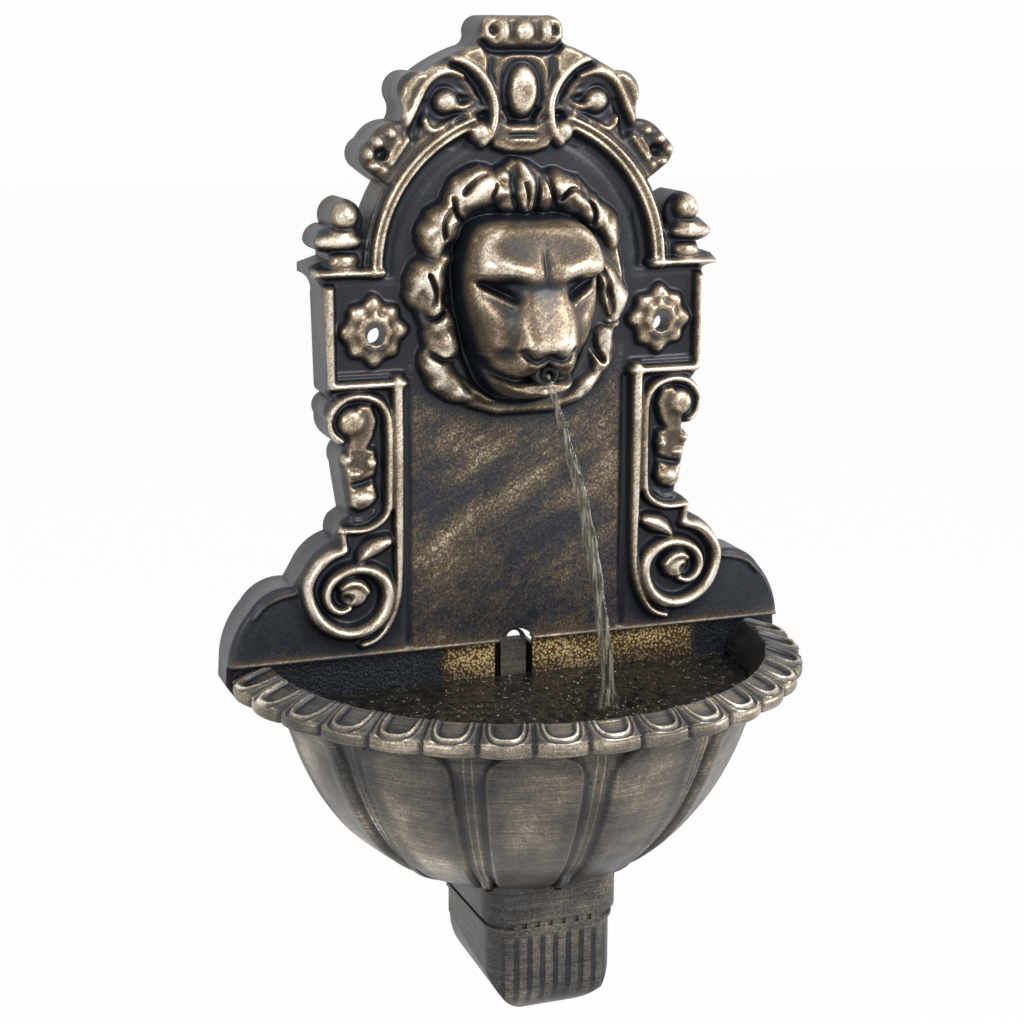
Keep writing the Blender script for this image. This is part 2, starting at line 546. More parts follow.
# the mane's locks in the order of their overlap
maneLocks = [
    ("ridge", [(-17, 376), (-17, 364), (-12, 352)], [9, 12, 9], 18, 3),
    ("ridge", [(18, 372), (18, 362), (17, 350)], [9, 13, 9], 18, 3),
    ("ridge", [(-3, 387), (0, 376), (2, 364), (2, 353)], [4, 10, 12, 9], 21, 3),
    ("hollow", [(-9, 379), (-10, 366), (-6, 353)], 2.6, 9),
    ("hollow", [(9, 380), (11, 368), (9, 353)], 2.4, 11), ("hollow", [(0, 372), (2, 362), (1, 353)], 1.8, 14),
    ("ridge", [(-20, 366), (-33, 368), (-46, 362), (-56, 352)], [13, 18, 17, 12], 22, 3),
    ("hollow", [(-30, 381), (-40, 376), (-50, 366)], 2.6, 12),
    ("hollow", [(-24, 372), (-27, 362), (-22, 354)], 2.2, 14),
    ("ridge", [(27, 370), (35, 363), (41, 352)], [12, 16, 12], 21, 3),
    ("hollow", [(30, 360), (38, 367), (47, 366)], 2.8, 12),
    ("hollow", [(20, 376), (23, 364), (26, 354)], 2.2, 10),
    ("ridge", [(43, 358), (52, 351), (60, 342)], [10, 15, 11], 21, 3),
    ("ridge", [(60, 348), (68, 340), (74, 327)], [10, 14, 10], 19, 3),
    ("hollow", [(52, 361), (58, 350), (56, 340)], 2.4, 11),
    ("ridge", [(-56, 350), (-63, 343), (-70, 332), (-72, 320)], [12, 17, 16, 10], 22, 3),
    ("hollow", [(-60, 354), (-67, 345), (-66, 333)], 2.4, 14),
    ("hollow", [(-58, 362), (-56, 350), (-50, 344)], 2.4, 10),
    ("ridge", [(-66, 315), (-75, 303), (-78, 290), (-74, 276)], [11, 17, 17, 11], 21, 3),
    ("hollow", [(-78, 304), (-73, 290), (-74, 280)], 2.6, 12),
    ("ridge", [(-72, 277), (-66, 265), (-64, 252), (-68, 238)], [11, 17, 17, 13], 21, 3),
    ("hollow", [(-84, 272), (-74, 270), (-66, 276)], 2.6, 9),
    ("ridge", [(-71, 238), (-64, 224), (-53, 213), (-40, 205)], [13, 14, 11, 6], 18, 3),
    ("hollow", [(-80, 246), (-68, 238), (-56, 238)], 3.0, 10),
    ("ridge", [(-49, 220), (-39, 211), (-27, 204)], [4, 6, 5], 15, 3),
    ("ridge", [(62, 314), (70, 299), (77, 281), (78, 262)], [7, 12, 14, 7], 20, 3),
    ("hollow", [(65, 304), (71, 288), (74, 270)], 2.6, 13),
    ("ridge", [(73, 260), (67, 248), (67, 234), (62, 222)], [8, 13, 13, 8], 19, 3),
    ("hollow", [(58, 254), (59, 242), (66, 232)], 3.4, 9),
    ("hollow", [(84, 262), (74, 259), (64, 262)], 2.4, 8),
    ("ridge", [(61, 222), (51, 211), (41, 204), (28, 199)], [9, 10, 8, 5], 16, 3),
]
# strokes (points, half width, depth) and swells (x, z, half x, half z, height, turn) of the face's right half
faceStrokes = [
    ("swell", 16, 307, 12, 8.5, 5.0, 26), ("swell", 38, 317, 15, 9, 3.2, 20),
    ("stroke", [(49, 303), (39, 297.5), (30, 293), (23, 290)], 5.6, -5.0),
    ("stroke", [(45, 300.5), (36, 296), (27, 291), (23, 288.5)], 2.2, -4.5),
    ("stroke", [(44, 293.5), (35, 289.5), (26, 284.5)], 3.2, 3.4), ("swell", 36, 275, 15, 10, 3.0, 20),
    ("swell", 18, 240, 14, 8.5, 7), ("swell", 36, 262, 12, 13, 3.0),
    ("stroke", [(27, 256), (30, 247), (38, 237), (42, 228)], 4.0, -1.4),
    ("stroke", [(2, 246), (9, 242.5), (16, 245), (20, 251)], 3.4, -6.5),
    ("stroke", [(4, 228), (20, 225), (33, 230), (40, 239)], 4.4, -11),
    ("stroke", [(2, 214.5), (16, 215.5), (27, 221)], 5.0, 6.0),
]


def arcPoints(start, middle, end, count=14):
    (ax, az), (bx, bz), (cx, cz) = start, middle, end
    d = 2 * (ax * (bz - cz) + bx * (cz - az) + cx * (az - bz))
    if abs(d) < 1e-6:
        return [start, end]
    sa, sb, sc = (x * x + z * z for x, z in (start, middle, end))
    ux = (sa * (bz - cz) + sb * (cz - az) + sc * (az - bz)) / d
    uz = (sa * (cx - bx) + sb * (ax - cx) + sc * (bx - ax)) / d
    radius = math.hypot(ax - ux, az - uz)
    a0, a1, a2 = (math.atan2(z - uz, x - ux) for x, z in (start, middle, end))
    sweep = sum((b - a + math.pi) % (2 * math.pi) - math.pi for a, b in ((a0, a1), (a1, a2)))
    return [(ux + radius * math.cos(a0 + sweep * t), uz + radius * math.sin(a0 + sweep * t))
            for t in np.linspace(0, 1, count)]


# points of an arch from right to left, starting at an angle over the level line
def archPoints(halfX, halfZ, z, count=17, start=0.0):
    turns = np.linspace(start, math.pi - start, count)
    return [(halfX * math.cos(a), z + halfZ * math.sin(a)) for a in turns]


def mirrored(points):
    return [(-x, z) for x, z in reversed(points)]


def evenly(loop, step=0.3):
    pts = np.array(loop + [loop[0]], float)
    pts = pts[np.concatenate([[True], np.hypot(*np.diff(pts, axis=0).T) > 1e-9])]
    run = np.concatenate([[0], np.cumsum(np.hypot(*np.diff(pts, axis=0).T))])
    want = np.linspace(0, run[-1], int(run[-1] / step), endpoint=False)
    return np.stack([np.interp(want, run, pts[:, 0]), np.interp(want, run, pts[:, 1])], 1)


def tracedOutline():
    right = [(0.0, plateShape["crestTop"])]
    for step in plateShape["outline"]:
        right += [step] if len(step) == 2 else arcPoints(right[-1], step[:2], step[2:])[1:]
    right += plateShape["apron"]
    return evenly(right + mirrored(right[1:-1]))


def insideLoop(loop, x, z):
    inside = np.zeros(x.shape, bool)
    a, b = loop, np.roll(loop, -1, axis=0)
    for row, level in enumerate(z[:, 0]):
        hit = (a[:, 1] > level) != (b[:, 1] > level)
        cross = a[hit, 0] + (level - a[hit, 1]) * (b[hit, 0] - a[hit, 0]) / (b[hit, 1] - a[hit, 1])
        if len(cross):
            inside[row] = (np.searchsorted(np.sort(cross), x[row]) % 2) == 1
    return inside


def channelLoop():
    s = plateShape
    radius = s["notchHalf"]
    centre = s["notchTop"] - radius
    top = archPoints(radius, radius, centre, 25, math.asin(-centre / radius))
    right = [(s["channelHalf"], s["channelLow"]), (s["channelHalf"], 0.0)]
    return evenly([(-s["channelHalf"], s["channelLow"])] + right + top + [(-s["channelHalf"], 0.0)])


def circleLoop(x, z, radius):
    a = np.linspace(0, 2 * math.pi, int(2 * math.pi * radius / 0.3), endpoint=False)
    return np.stack([x + radius * np.cos(a), z + radius * np.sin(a)], 1)


def fromTable(table, values):
    line = smoothLine(table, 1.0)
    return np.interp(values, line[:, 0], line[:, 1])


archShape = {
    "centre": 308.0, "foot": 303.0, "groove": (105.5, 5.2), "grooveDeep": 3.6,
    "mouldings": ((116.5, 8.0, 6.5), (119.6, 4.0, 13.0), (113.8, 3.2, 11.0), (125.6, 2.0, 9.0)),
    "crestLow": 372, "crestFrom": 122, "crestRise": 6.0,
}


def carveArch(g):
    s = archShape
    radius = np.where(g.z >= s["centre"], np.hypot(g.x, g.z - s["centre"]), g.x)
    above = g.z >= s["foot"]
    g.height = np.where(above, -s["grooveDeep"] * bell(radius, *s["groove"]), g.height)
    g.height[(g.z > s["crestLow"]) & (radius > s["crestFrom"])] = s["crestRise"]
    g.carve(crestCarving)
    shown = above & ((g.x > 30) | (g.z < 400))
    fade = np.where(g.z > 395, easy((g.x - 32) / 7), 1.0)
    for middle, half, rise in s["mouldings"]:
        share = (1 - np.clip(np.abs(radius - middle) / half, 0, 1) ** 2) ** 1.1
        lift = (rise + 4) * share * fade - 4
        g.height = np.where(shown & (share > 0), blendUp(g.height, lift, 1.2), g.height)
    g.carve(crestForms)


rosette = {"x": 119.5, "z": 261.5, "half": 35.0, "radius": 27.6, "wave": 1.9, "petals": 8, "rise": 9.5}


def carveRosette(g):
    r = rosette
    part = g.patch(r["x"] - r["half"] - 0.5, r["x"] + r["half"] - 0.5,
                   r["z"] - r["half"] - 0.5, r["z"] + r["half"] - 0.5)
    dx, dz = g.x[part] - r["x"], g.z[part] - r["z"]
    radius, angle = np.hypot(dx, dz), np.arctan2(dz, dx)
    petal = np.cos(r["petals"] * angle)
    rho = radius / (r["radius"] + r["wave"] * petal + 1.2 * np.cos(4 * angle + 0.4))
    lobes = np.clip((rho - 0.35) / 0.4, 0, 1)
    rise = r["rise"] + 0.9 * petal * lobes - 0.8 * lobes + 2.0 * bell(radius, 11, 3.0)
    rise -= 1.5 * bell(rho, 0.55, 0.08) * (0.7 - 0.3 * petal)
    g.grow(part, (rise + 3) * (1 - np.clip(rho, 0, 1) ** 9) - 3)


# the face's middle line (z, height) and half widths (z, x); the nose's half widths (z, x)
lionShape = {
    "seed": 11, "tufts": 1.5, "cheek": 0.79, "back": 6.0, "maneRise": 9.5,
    "ridge": [(190, 0), (198, 6), (206, 30), (214, 46), (222, 59), (228, 57), (233, 62), (246, 68),
              (251, 74), (256, 76), (273, 69), (288, 62), (298, 57), (306, 60), (315, 60), (329, 51),
              (343, 39), (352, 27), (380, 6), (392, 0)],
    "wide": [(190, 16), (206, 28), (222, 37), (246, 46), (273, 56), (300, 62), (316, 63), (343, 59),
             (370, 44), (392, 30)],
    "nose": [(210, 31), (232, 27), (246, 25), (256, 25.5), (280, 24), (296, 21), (306, 22), (316, 34),
             (330, 50)],
    "middle": [("swell", 0, 314, 2.6, 10, -5), ("swell", 0, 241, 2.4, 5, -4),
               ("swell", 0, 230, 12, 8.5, -11)],
}


def carveLion(g):
    s = lionShape
    x, z = g.x, g.z
    g.mass(maneBase, s["maneRise"], 8.0)
    base = g.height.copy()
    g.height = np.full_like(base, -3.0)
    g.carve(maneLocks)
    lumps = soften(np.random.default_rng(s["seed"]).standard_normal(x.shape), 3)
    locks = g.height + np.clip(lumps / lumps.std(), -2, 2) * s["tufts"] * easy(g.height / 8)
    ridge = fromTable(s["ridge"], z)
    cheek = ridge * np.where(z < 300, s["cheek"], np.minimum(1.0, s["cheek"] + (z - 300) / 40.0))
    square = 2.3 + 2.6 * easy((z - 240) / 90)
    dome = cheek * np.sqrt(np.clip(1 - (np.abs(x) / fromTable(s["wide"], z)) ** square, 0, 1))
    nose = (ridge - cheek) * np.exp(-np.abs(x / fromTable(s["nose"], z)) ** 5.0)
    right = smoothLine(lionMask, 1.0)
    loop = np.vstack([right, right[::-1] * (-1, 1)])
    part, near, _ = g.lineGap(loop, 30)
    inside = insideLoop(loop, x, z)
    gap = np.full(x.shape, 40.0)
    gap[part] = near
    g.height = s["back"] + dome + nose
    for side in (1, -1):
        g.carve(faceStrokes, side)
    g.carve(s["middle"])
    rise = 1 - (1 - np.clip(gap / 8.0, 0, 1)) ** 2
    face = 3.0 + (smoothed(g.height, 1) - 3.0) * np.sqrt(rise)
    outside = np.where(inside, 0.0, gap)
    held = np.maximum(base, blendUp(base, locks, 2.0))
    sunk = 5.0 * bell(outside, 0, 3.5) * (outside < 14)
    g.height = np.where(inside, np.maximum(face, 3.0), held - np.minimum(sunk, np.clip(held - 3.5, 0, 9)))


def carvedPlate():
    s = plateShape
    half = Relief(0.0, s["half"], 0.0, s["top"], s["pitch"])
    carveArch(half)
    half.carve(blockCarving)
    half.carve(sideCarving)
    carveRosette(half)
    full = Relief(-s["half"], s["half"], s["low"], s["top"], s["pitch"])
    low = full.z[:, 0] < 0.5
    upper = smoothed(np.concatenate([half.height[:, :0:-1], half.height], axis=1)[1:], 2)
    full.height[low] = s["apronDepth"] - s["fieldDepth"]
    full.height[~low] = upper[:(~low).sum()]
    head = Relief(*s["head"], s["pitch"])
    rows, cols = np.searchsorted(full.zs, head.zs[0] - 0.1), np.searchsorted(full.xs, head.xs[0] - 0.1)
    box = (slice(rows, rows + len(head.zs)), slice(cols, cols + len(head.xs)))
    head.height = full.height[box].copy()
    carveLion(head)
    full.height[box] = head.height
    full.height[rows:] = smoothed(full.height, 1)[rows:]
    print("relief carved", full.height.shape)
    return full


plateWear = {"base": 0.13, "raised": 0.33, "proud": 0.30, "crisp": 0.11, "steep": 0.45, "field": 0.15,
             "fieldHigh": 0.13, "fieldHalf": 93, "behindLion": 0.45, "face": 0.05, "muzzleSide": 0.26,
             "forehead": 0.22, "nosePad": 0.22, "apron": 0.42, "low": 0.05}


# how rubbed each point is, and where the field's long strokes lie
def wearOf(plate):
    w = plateWear
    x, z, height = np.abs(plate.x), plate.z, plate.height
    slopeZ, slopeX = np.gradient(height, plate.pitch)
    facing = 1 / np.sqrt(1 + slopeX ** 2 + slopeZ ** 2)
    proud = np.clip((height - soften(height, 7)) / 3.6, -1.2, 1.2)
    crisp = np.clip((height - soften(height, 2)) / 0.5, -1, 1)
    field = easy((w["fieldHalf"] - x) / 4) * easy(z / 10) * (1 - easy((height - 1.5) / 3))
    recess = easy((z - 235) / 30)
    rub = w["base"] + w["raised"] * easy((height - 2.0) / 6) + w["proud"] * proud + w["crisp"] * crisp
    rub += field * (1 - recess) * (w["field"] + w["fieldHigh"] * easy((z - 20) / 130))
    rub -= w["steep"] * np.clip(0.74 - facing, 0, 1)
    muzzleSide = easy((x - 34) / 10) * easy((290 - z) / 25) * easy((60 - x) / 4)
    nosePad = easy((20 - x) / 4) * easy((247 - z) / 3) * easy((z - 224) / 3)
    face = easy((1.0 - np.hypot(x / 60, (z - 276) / 76)) / 0.08)
    rub -= face * (w["face"] + w["muzzleSide"] * muzzleSide + w["nosePad"] * nosePad
                   + w["forehead"] * easy((z - 322) / 16))
    rub = np.where(height <= -5, w["low"], np.where(z < 3, np.minimum(rub, w["apron"]), rub))
    return rub, field * (1 - w["behindLion"] * recess)


def pointTree(loop):
    tree = KDTree(len(loop))
    for i, (x, z) in enumerate(loop):
        tree.insert((x, z, 0.0), i)
    tree.balance()
    return tree


# edges that belong to one face only, as that face runs along them
def borderEdges(faces, count):
    corners = faces.shape[1]
    edges = np.concatenate([faces[:, [i, (i + 1) % corners]] for i in range(corners)])
    keys = np.sort(edges, 1)
    _, first, times = np.unique(keys[:, 0] * count + keys[:, 1], return_index=True, return_counts=True)
    return edges[first[times == 1]]


# joins the border of a sheet to its copy, whose points follow count places later
def wallFaces(edges, count):
    a, b = edges.T
    return np.stack([b, a, a + count, b + count], 1)


def buildPlate():
    s = plateShape
    full = carvedPlate()
    outer = tracedOutline()
    holes = [channelLoop(), circleLoop(0, s["mouthZ"], s["mouthR"])]
    holes += [circleLoop(side * s["screwX"], s["screwZ"], s["screwR"]) for side in (-1, 1)]
    midX, midZ = full.x[:-1, :-1] + s["pitch"] / 2, full.z[:-1, :-1] + s["pitch"] / 2
    kept = insideLoop(outer, midX, midZ)
    for hole in holes:
        kept &= ~insideLoop(hole, midX, midZ)
    quads = gridFaces(*full.x.shape)[kept]
    border = borderEdges(quads, full.x.size)

    # the border's points move onto the loops, and every point learns its way to the outline
    place = np.stack([full.x.ravel(), full.z.ravel()], 1)
    outerTree, loopTree = pointTree(outer), pointTree(np.vstack([outer] + holes))
    onOuter = np.zeros(len(place), bool)
    for v in np.unique(border):
        spot, i, _ = loopTree.find((*place[v], 0.0))
        place[v] = spot[:2]
        onOuter[v] = i < len(outer)
    ahead = np.roll(outer, -4, axis=0) - np.roll(outer, 4, axis=0)
    inward = np.stack([ahead[:, 1], -ahead[:, 0]], 1) / np.maximum(np.hypot(*ahead.T), 1e-9)[:, None]
    used = np.unique(quads)
    edgeGap = np.full(len(place), 99.0)
    toward = np.zeros_like(place)
    for v in used:
        _, i, edgeGap[v] = outerTree.find((*place[v], 0.0))
        if edgeGap[v] < 9:
            away = place[v] - outer[i]
            toward[v] = away / np.hypot(*away) if edgeGap[v] > 0.6 else inward[i]
    print("outline snapped", len(np.unique(border)), "edge points")

    radius, wall, count = s["edgeRound"], s["wall"], len(used)
    lean = np.clip(radius - edgeGap, 0, radius)
    rounded = np.where(place[:, 1] > 0.2, radius - np.sqrt(radius ** 2 - lean ** 2), 0)
    front = -s["fieldDepth"] - full.height.ravel() + rounded
    outside = np.stack([place[:, 0], front, place[:, 1]], 1)[used]
    around = [np.roll(full.height, (a, b), (0, 1)) for a in (-2, 0, 2) for b in (-2, 0, 2)]
    back = -s["fieldDepth"] - soften(np.minimum.reduce(around), 1).ravel() + wall
    moved = place + toward * (wall * np.clip(1 - edgeGap / 8, 0, 1))[:, None]
    inner = np.stack([moved[:, 0], back, moved[:, 1]], 1)[used]
    inner[:, 1] = np.maximum(inner[:, 1], outside[:, 1] + wall * 0.8)

    frontFaces = np.searchsorted(used, quads)
    edges = np.searchsorted(used, border)
    isOuter = onOuter[border].all(axis=1)
    ring = np.unique(edges[isOuter])
    a, b = np.searchsorted(ring, edges[isOuter]).T
    points = [outside, inner, outside[ring], outside[ring] * (1, 0, 1), inner[ring] * (1, 0, 1), inner[ring]]
    starts = [2 * count + len(ring) * k for k in range(4)]
    sides = [np.stack([b + p, a + p, a + q, b + q], 1) for p, q in zip(starts, starts[1:])]
    groups = [frontFaces, (frontFaces + count)[:, ::-1], *sides, wallFaces(edges[~isOuter], count)]
    kinds = np.repeat([0, 2, 1, 2, 2, 0], [len(group) for group in groups])
    faces, allPoints = np.concatenate(groups), np.vstack(points)
    rest = np.full(len(allPoints) - count, 0.1)
    rubbed, zone = (np.concatenate([values.ravel()[used], rest]) for values in wearOf(full))
    made = makePiece("reliefPlate", allPoints, faces.tolist(), [relief, flank, mouldedBack],
                     kinds=kinds, kept={"rubbed": rubbed, "zone": zone})
    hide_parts("back_plate")
    print("plate made", len(faces), "faces")


buildPlate()


basinShape = {
    "plane": -34.0, "backDepth": 4.0, "rimFront": 226.0, "rimSide": 238.0, "mouth": 206.0,
    "pitchDegrees": 10.6, "bulge": 4.0, "skirtLow": -20.8, "skirtTop": -11.0,
    "dishHalf": 11.6, "dishEnd": 6.5, "dishDeep": 2.6, "dishSquare": 3.2, "cuspDeep": 1.6, "cuspIn": 2.2,
    "dishRings": ((1.7, 1.1, 1.3, 0.42), (5.4, 1.0, 0.9, 0.26), (3.6, 0.9, -0.9, -0.30),
                  (-1.4, 1.3, 0.0, -0.34)),                     # past the dish, width, height, rubbed
    "lipRows": ((5.5, -10.0, 0.10), (1.4, -3.6, 0.3), (0.4, -1.0, 0.5)),    # inset, height, rubbed
    "skirtRows": ((0.0, -1.2), (0.12, -0.5), (0.3, 0.0), (0.55, 0.1), (0.8, -0.4), (0.93, -1.1),
                  (1.0, -2.2)),                                 # share of the skirt's depth, outwards
    "underRows": ((204.0, 2.5, -0.2), (199.5, 0.5, -0.25)),     # radius, over the skirt's foot, rubbed
    "profile": [(197, -18), (195.5, -40), (190, -58), (184, -75), (177, -91), (169, -107), (159, -123),
                (147, -139), (133, -153), (116, -167), (97, -178), (76, -186), (58, -190)],
    "wall": 3.5, "panels": (-75, -45, -15, 15, 45, 75), "panelHalfDegrees": 11.6, "panelTop": 5.0,
    "panelArch": 29.0, "panelProud": 6.0, "panelInset": 3.5, "ribs": (-90, -60, -30, 0, 30, 60, 90),
    "ribGap": 3.3, "footRib": 8.6, "footRibHalf": 5.6,
    "nicheHalf": 16.5, "nicheDepth": 25.0, "nicheLow": -120.0, "nicheTop": -6.0,
    "bosses": ((-75, -60), (75, -60)), "bossR": 6.0, "bossHole": 2.1, "bossOut": 7.0,
    "cover": {"half": 11.0, "low": -70.0, "shoulder": -2.0, "top": 9.5, "rim": 2.0, "holeHalf": 6.2,
              "holeLow": 0.5, "front": -33.0, "thick": 1.6},
}
# how rubbed the rim and the bowl are, and what each form adds or takes
basinWear = {
    "rim": 0.36, "ringOut": 0.22, "dish": 0.10, "cusp": 0.3, "edge": 0.30, "turned": (0.02, 0.14),
    "skirt": 0.80, "skirtFoot": 0.22, "skirtCusp": 0.4, "skirtTurned": 1.6,
    "bowl": 0.36, "panel": 0.12, "rib": 0.24, "panelEdge": 0.14, "groove": 0.34, "underRim": 0.12,
    "low": 0.12,
}


def buildBasin():
    s, w = basinShape, basinWear
    angles = np.radians(np.linspace(-90, 90, 1081))
    rimR = s["rimFront"] + (s["rimSide"] - s["rimFront"]) * np.sin(angles) ** 2
    pitch = math.radians(s["pitchDegrees"])
    local = (angles / pitch + 0.5) % 1.0 - 0.5
    edgeR = rimR - s["bulge"] * (2 * local) ** 2
    cusp = np.clip((np.abs(2 * local) - 0.86) / 0.14, 0, 1)
    across = np.abs(local) * pitch * 216.0
    turned = w["turned"][0] + w["turned"][1] * easy((np.abs(np.degrees(angles)) - 42) / 30)
    rows, rub = [], []

    def addRow(radius, height, gold):
        radius, height, gold = (np.broadcast_to(value, angles.shape) for value in (radius, height, gold))
        rows.append(np.stack([radius * np.sin(angles), s["plane"] - radius * np.cos(angles), height], 1))
        rub.append(gold)

    low = s["profile"][-1][1]
    profile = smoothLine(s["profile"], 1.8)
    inside = profile[::2] - (s["wall"], 0)
    inside[:, 1] = np.maximum(inside[:, 1], low + s["wall"])
    for r in (0.5, *np.linspace(6, inside[-1, 0], 10)):
        addRow(r, low + s["wall"], 0.0)
    for r, z in inside[::-1]:
        addRow(r, z, 0.08 if z > -60 else 0.0)
    for inset, z, gold in s["lipRows"]:
        addRow(s["mouth"] - inset, z, gold)
    dish, square = s["dishHalf"], s["dishSquare"]
    for t in np.linspace(0, 1, 44):
        radius = s["mouth"] + (edgeR - s["mouth"]) * t
        run = (radius - s["mouth"] + 2.0) * dish / (edgeR - s["dishEnd"] - s["mouth"] + 2.0)
        reach = (across ** square + np.maximum(run, 0) ** square) ** (1 / square)
        height = (s["skirtTop"] + 1.2) * t ** 1.08 - s["dishDeep"] * easy((dish - reach) / 2.0 + 0.5)
        height = height - s["cuspDeep"] * cusp - 0.5 * bell(across, 20, 1.0)
        gold = w["rim"] + w["dish"] * easy((dish - 3 - reach) / 4) + w["edge"] * easy((t - 0.90) / 0.1)
        gold = gold - w["cusp"] * cusp - turned
        for place, (past, width, rise, shine) in enumerate(s["dishRings"]):
            ring = bell(reach, dish + past, width)
            height = height + rise * ring
            gold = gold + (shine + (w["ringOut"] * t if place == 0 else 0)) * ring
        addRow(radius, np.minimum(height, -0.1 - 0.4 * t), gold)
    for t, out in s["skirtRows"]:
        z = s["skirtTop"] + (s["skirtLow"] - s["skirtTop"]) * t - 0.8 * cusp * (t < 0.5)
        gold = w["skirt"] - w["skirtFoot"] * t - w["skirtCusp"] * cusp - w["skirtTurned"] * turned
        addRow(edgeR + out - s["cuspIn"] * cusp, z, gold)
    addRow(edgeR - 4.6, s["skirtLow"] - 0.2, 0.05)
    for radius, over, gold in s["underRows"]:
        addRow(radius, s["skirtLow"] + over, gold)

    middles, ribs = (np.radians(s[key])[None, :] for key in ("panels", "ribs"))
    path = np.concatenate([[0], np.cumsum(np.hypot(*np.diff(profile, axis=0).T))])
    for (r, z), along in zip(profile, path):
        if z > s["skirtLow"] - 1:
            continue
        off, toRib = (np.min(np.abs(angles[:, None] - lines), axis=1) * r for lines in (middles, ribs))
        halfHere = math.radians(s["panelHalfDegrees"]) * r
        top = s["panelTop"] + s["panelArch"] * (1 - np.sqrt(1 - np.clip(off / halfHere, 0, 1) ** 2.4))
        side, high = halfHere - off, (along - top) * 0.75
        gap = np.minimum(side, high) - 1.2 * np.exp(-np.abs(side - high) / 4.0)
        lift = s["panelProud"] * easy(gap / 6.0 + 0.3) - easy((gap - 7) / 9) - 1.5 * bell(gap, -2.6, 1.6)
        lines = bell(toRib, s["ribGap"] * (r / 195.0) ** 0.8, 1.0) * (gap < 0)
        lines = lines * np.clip((along - 6) / 10, 0, 1)
        gold = w["bowl"] + w["panel"] * easy((gap - 8) / 14) + w["rib"] * lines
        gold = gold + w["panelEdge"] * bell(gap, 2.0, 1.6) - w["groove"] * bell(gap, -2.0, 2.4)
        gold = gold - w["underRim"] * easy((z + 30) / 12) - w["low"] * easy((-150 - z) / 30)
        bottom = np.clip((z - low - 0.5) / 9, 0, 1)
        footRib = s["footRib"] * (1 - np.clip(toRib / s["footRibHalf"], 0, 1) ** 4) * easy((-150 - z) / 24)
        addRow(r - s["panelInset"] + np.maximum((lift + 1.1 * lines) * bottom, footRib), z, gold)
    for r in (40.0, 20.0, 0.5):
        addRow(r, low, 0.0)
    quads = gridFaces(len(rows), len(angles)).reshape(-1, 4)
    made = makePiece("basinShell", np.vstack(rows), quads.tolist(), [bowlBronze],
                     kept={"rubbed": np.concatenate(rub)})
    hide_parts("basin")
    backWall(profile)
    print("basin made", len(quads), "faces")


# a flat slab inside an outline, with every further loop a hole
def slabPiece(name, loops, front, thick, material):
    x, z = np.array(sum(loops, []), float).T
    count = len(x)
    flat = np.array(tessellate_polygon([[(x, z, 0.0) for x, z in loop] for loop in loops]))
    a, b, c = flat.T
    flipped = (x[b] - x[a]) * (z[c] - z[a]) < (z[b] - z[a]) * (x[c] - x[a])
    flat[flipped] = flat[flipped, ::-1]
    points = np.vstack([np.stack([x, np.full(count, y), z], 1) for y in (front, front + thick)])
    walls = wallFaces(borderEdges(flat, count), count)
    faces = flat.tolist() + (flat[:, ::-1] + count).tolist() + walls.tolist()
    makePiece(name, points, faces, [material], smooth=False)


def backWall(profile):
    s, c = basinShape, basinShape["cover"]
    half, side = s["nicheHalf"], s["rimSide"] - 4
    right = [(half, -0.3), (226, -0.3), (234, -4.5), (side, -9), (side, s["skirtLow"]), (199, s["skirtLow"])]
    right += [(r - 2.4, z) for r, z in profile[::2] if z < s["skirtLow"] - 1]
    niche = [(-half, s["nicheLow"]), (half, s["nicheLow"])]
    wall = right + [(0, s["profile"][-1][1])] + mirrored(right) + niche
    slabPiece("basinBackWall", [wall], s["plane"], s["backDepth"], backWallGold)
    top = archPoints(c["half"], c["top"] - c["shoulder"], c["shoulder"])
    hole = archPoints(c["holeHalf"], c["top"] - c["rim"] - c["holeLow"], c["holeLow"])
    loops = [[(-c["half"], c["low"]), (c["half"], c["low"])] + top, hole]
    bronzeCover = bronzeFinish(Finish("coverBronze"), coverLook, coverLook["wear"])
    slabPiece("nicheCover", loops, c["front"], c["thick"], bronzeCover)


backWallLook = {
    "gold": ((0.075, 0.042, 0.014), (0.82, 0.60, 0.28)), "goldRange": (0.25, 0.80),
    "dark": ((0.002, 0.004, 0.009), (0.022, 0.026, 0.034)), "darkRange": (0.3, 0.9),
    "edge": (0.55, 0.45, 0.30), "edgeHeights": (-0.2600, -0.2588),
    "goldCentre": 0.048, "goldHalf": (0.104, 0.116), "heights": (-0.290, -0.264),
    "facing": (-0.0337, -0.0328),
}


def backWallFinish():
    f = Finish("backWallGold")
    look = backWallLook
    grain = f.node("TexVoronoi", None, {"Vector": f.place, "Scale": 430.0})
    fine, cloud = f.noise(900.0, 2.0, 0.6), f.noise(24.0, 4.0, 0.65)
    x, y, z = f.outputs("SeparateXYZ", (0, 1, 2), {0: f.place})
    sideways = ((x - look["goldCentre"]) + (cloud - 0.5) * 0.02).calc("ABSOLUTE")
    middle = (1.0 - sideways.step(*look["goldHalf"])) * (1.0 - y.step(*look["facing"]))
    stipple = 0.62 - grain * 0.95 + fine * 0.5 + (cloud - 0.5) * 0.9
    gold = f.mix(stipple.step(*look["goldRange"]), *look["gold"])
    dark = f.mix(stipple.step(*look["darkRange"]), *look["dark"])
    color = f.mix(middle * (0.35 + z.step(*look["heights"]) * 0.65), dark, gold)
    color = f.mix(z.step(*look["edgeHeights"]) * 0.7, color, look["edge"])
    return f.surface(color=color, metal=middle * 0.3, rough=0.42 + (fine - 0.5) * 0.2,
                     normal=f.bump(stipple, 0.0007, 0.7))


bowlBronze = rubbedBronze("bowlBronze", bowlLook)
backWallGold = backWallFinish()
buildBasin()


